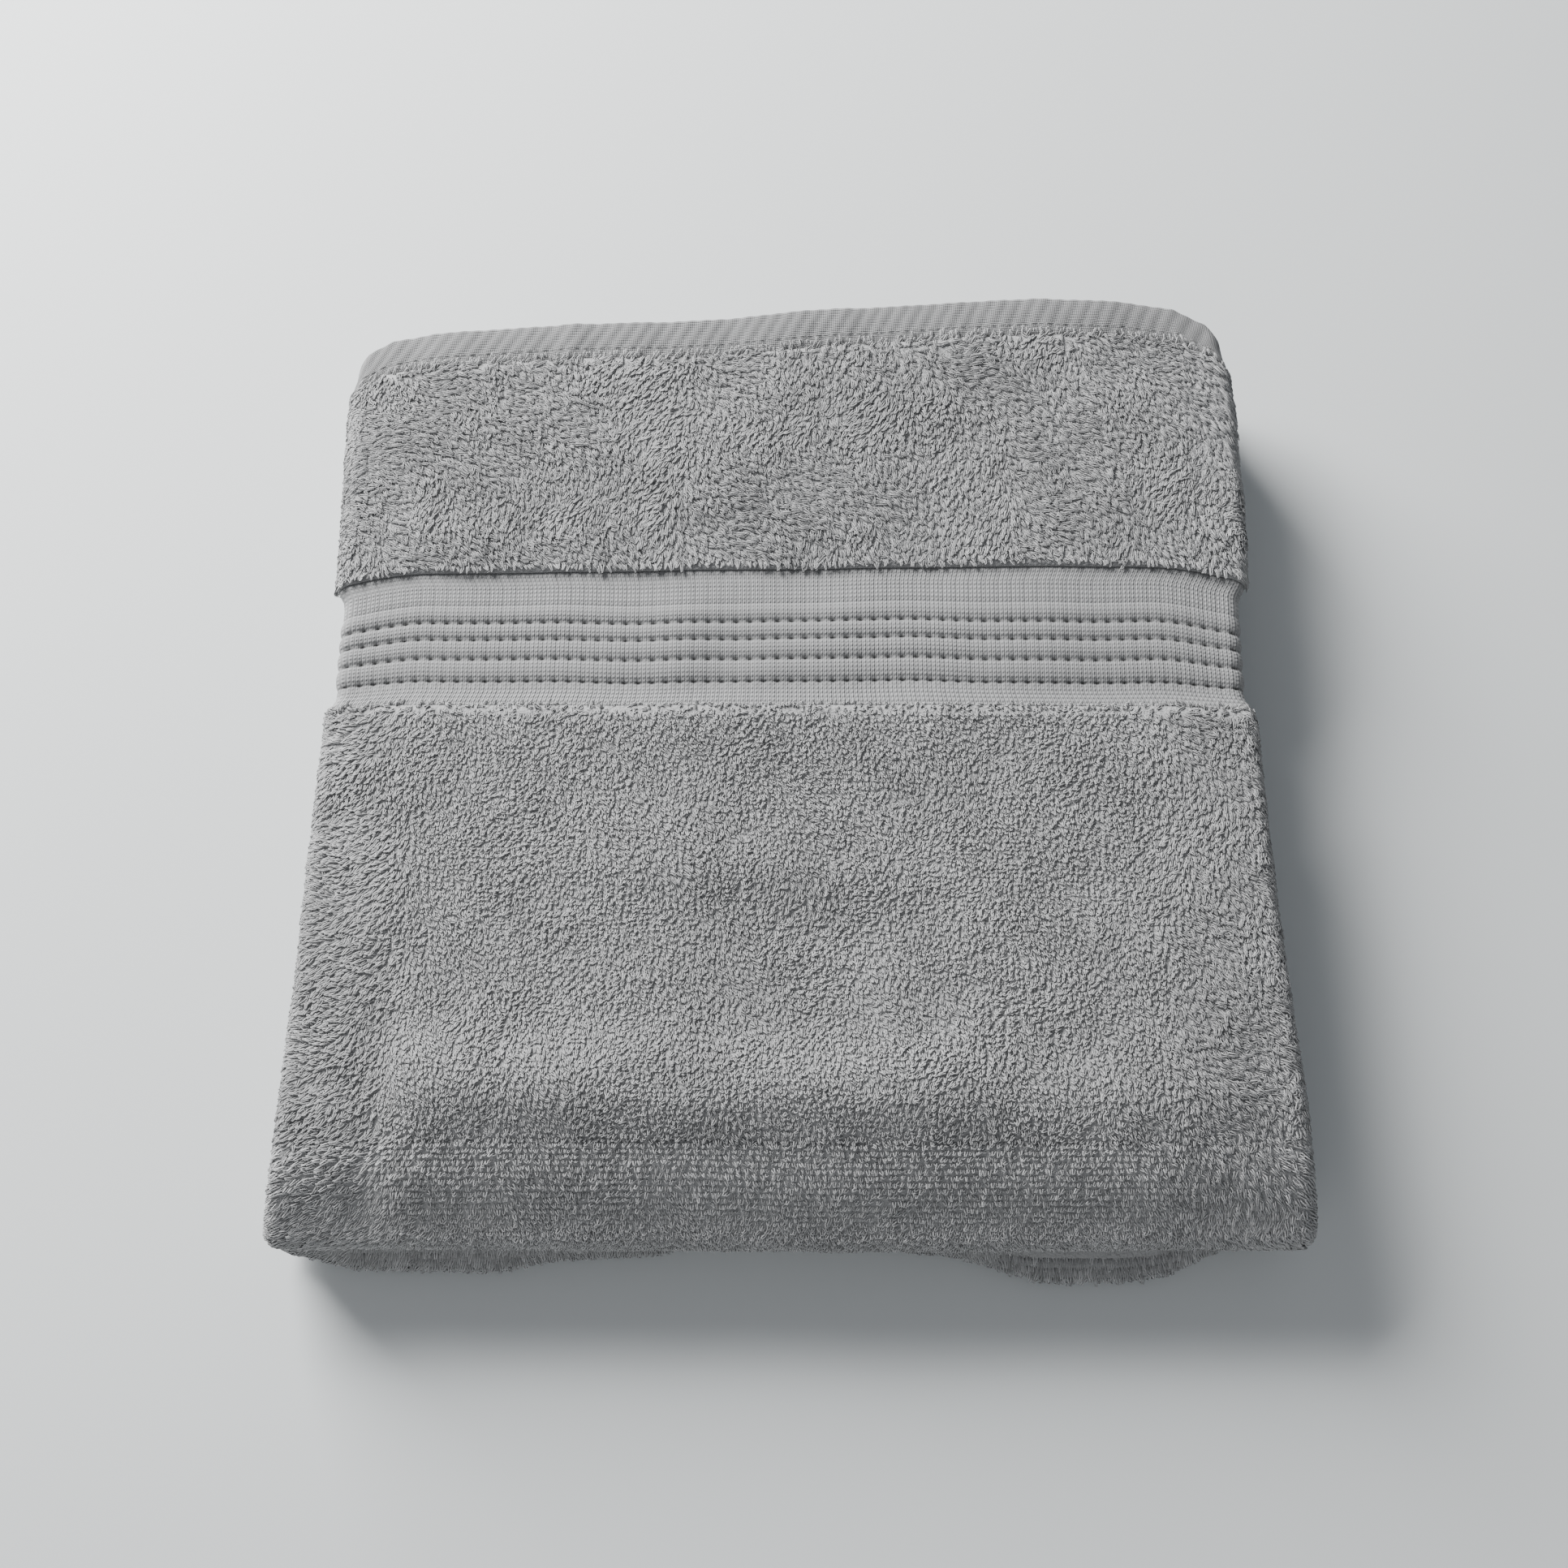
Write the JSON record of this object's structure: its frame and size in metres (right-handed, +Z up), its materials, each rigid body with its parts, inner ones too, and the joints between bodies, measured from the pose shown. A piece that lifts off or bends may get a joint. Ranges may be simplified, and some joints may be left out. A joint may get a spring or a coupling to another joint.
{
  "type": "bath towel",
  "caption": "Folded terry bath towel with rounded side creases, a rounded front roll, a ribbed woven border, flat end hems and a book fold that opens.",
  "frame": {"origin": "middle of the folded towel's footprint, on the surface that it lies on", "axes": "+X across the towel, +Y towards the far edge where both ends and their hems lie, +Z up; the front roll is at -Y"},
  "size_m": [0.35, 0.358, 0.0521],
  "materials": {
    "terry_pile": "looped cotton pile, matt",
    "dobby_weave": "flat dobby weave with raised ribs, matt",
    "hem_weave": "fine slanted flat weave, matt",
    "seam_thread": "sewing thread, slight sheen"
  },
  "bodies": {
    "lower_half": {"back_crease": "terry_pile", "bottom_left_flap": "terry_pile", "bottom_left_side_hem": "hem_weave", "bottom_panel": "terry_pile", "bottom_right_flap": "terry_pile", "bottom_right_side_hem": "hem_weave", "front_roll_1": "terry_pile", "inner_crease_lower": "terry_pile", "inner_lower_left_flap": "terry_pile", "inner_lower_left_side_hem": "hem_weave", "inner_lower_panel": "terry_pile", "inner_lower_right_flap": "terry_pile", "inner_lower_right_side_hem": "hem_weave"},
    "front_roll_lower": {"front_roll_2": "terry_pile", "front_roll_3": "terry_pile"},
    "front_roll_upper": {"front_roll_4": "terry_pile", "front_roll_5": "terry_pile"},
    "inner_ply": {"inner_crease_upper": "terry_pile", "inner_dobby_border": "dobby_weave", "inner_end_hem": "hem_weave", "inner_end_strip": "terry_pile", "inner_hem_seam": "seam_thread", "inner_upper_left_flap": "terry_pile", "inner_upper_left_side_hem": "hem_weave", "inner_upper_panel": "terry_pile", "inner_upper_right_flap": "terry_pile", "inner_upper_right_side_hem": "hem_weave"},
    "top_ply": {"front_roll_6": "terry_pile", "top_dobby_border": "dobby_weave", "top_end_hem": "hem_weave", "top_end_strip": "terry_pile", "top_hem_seam": "seam_thread", "top_left_flap": "terry_pile", "top_left_side_hem": "hem_weave", "top_panel": "terry_pile", "top_right_flap": "terry_pile", "top_right_side_hem": "hem_weave"}
  },
  "joints": [
    {"name": "book_fold", "type": "hinge", "parent": "lower_half", "child": "inner_ply", "pos_m": [0, -0.1659, 0.02685], "axis": [1, 0, 0], "range_deg": [0, 180]},
    {"name": "roll_bend_1", "type": "hinge", "parent": "lower_half", "child": "front_roll_lower", "pos_m": [0, -0.16598, 0.00349], "axis": [1, 0, 0], "range_deg": [0, 60]},
    {"name": "roll_bend_2", "type": "hinge", "parent": "front_roll_lower", "child": "front_roll_upper", "pos_m": [0, -0.179, 0.02605], "axis": [1, 0, 0], "range_deg": [0, 60]},
    {"name": "roll_bend_3", "type": "hinge", "parent": "front_roll_upper", "child": "top_ply", "pos_m": [0, -0.16598, 0.04861], "axis": [1, 0, 0], "range_deg": [0, 60]}
  ],
  "couplings": [
    {"joint": "roll_bend_1", "follows": "book_fold", "ratio": 0.33333},
    {"joint": "roll_bend_2", "follows": "book_fold", "ratio": 0.33333},
    {"joint": "roll_bend_3", "follows": "book_fold", "ratio": 0.33333}
  ]
}
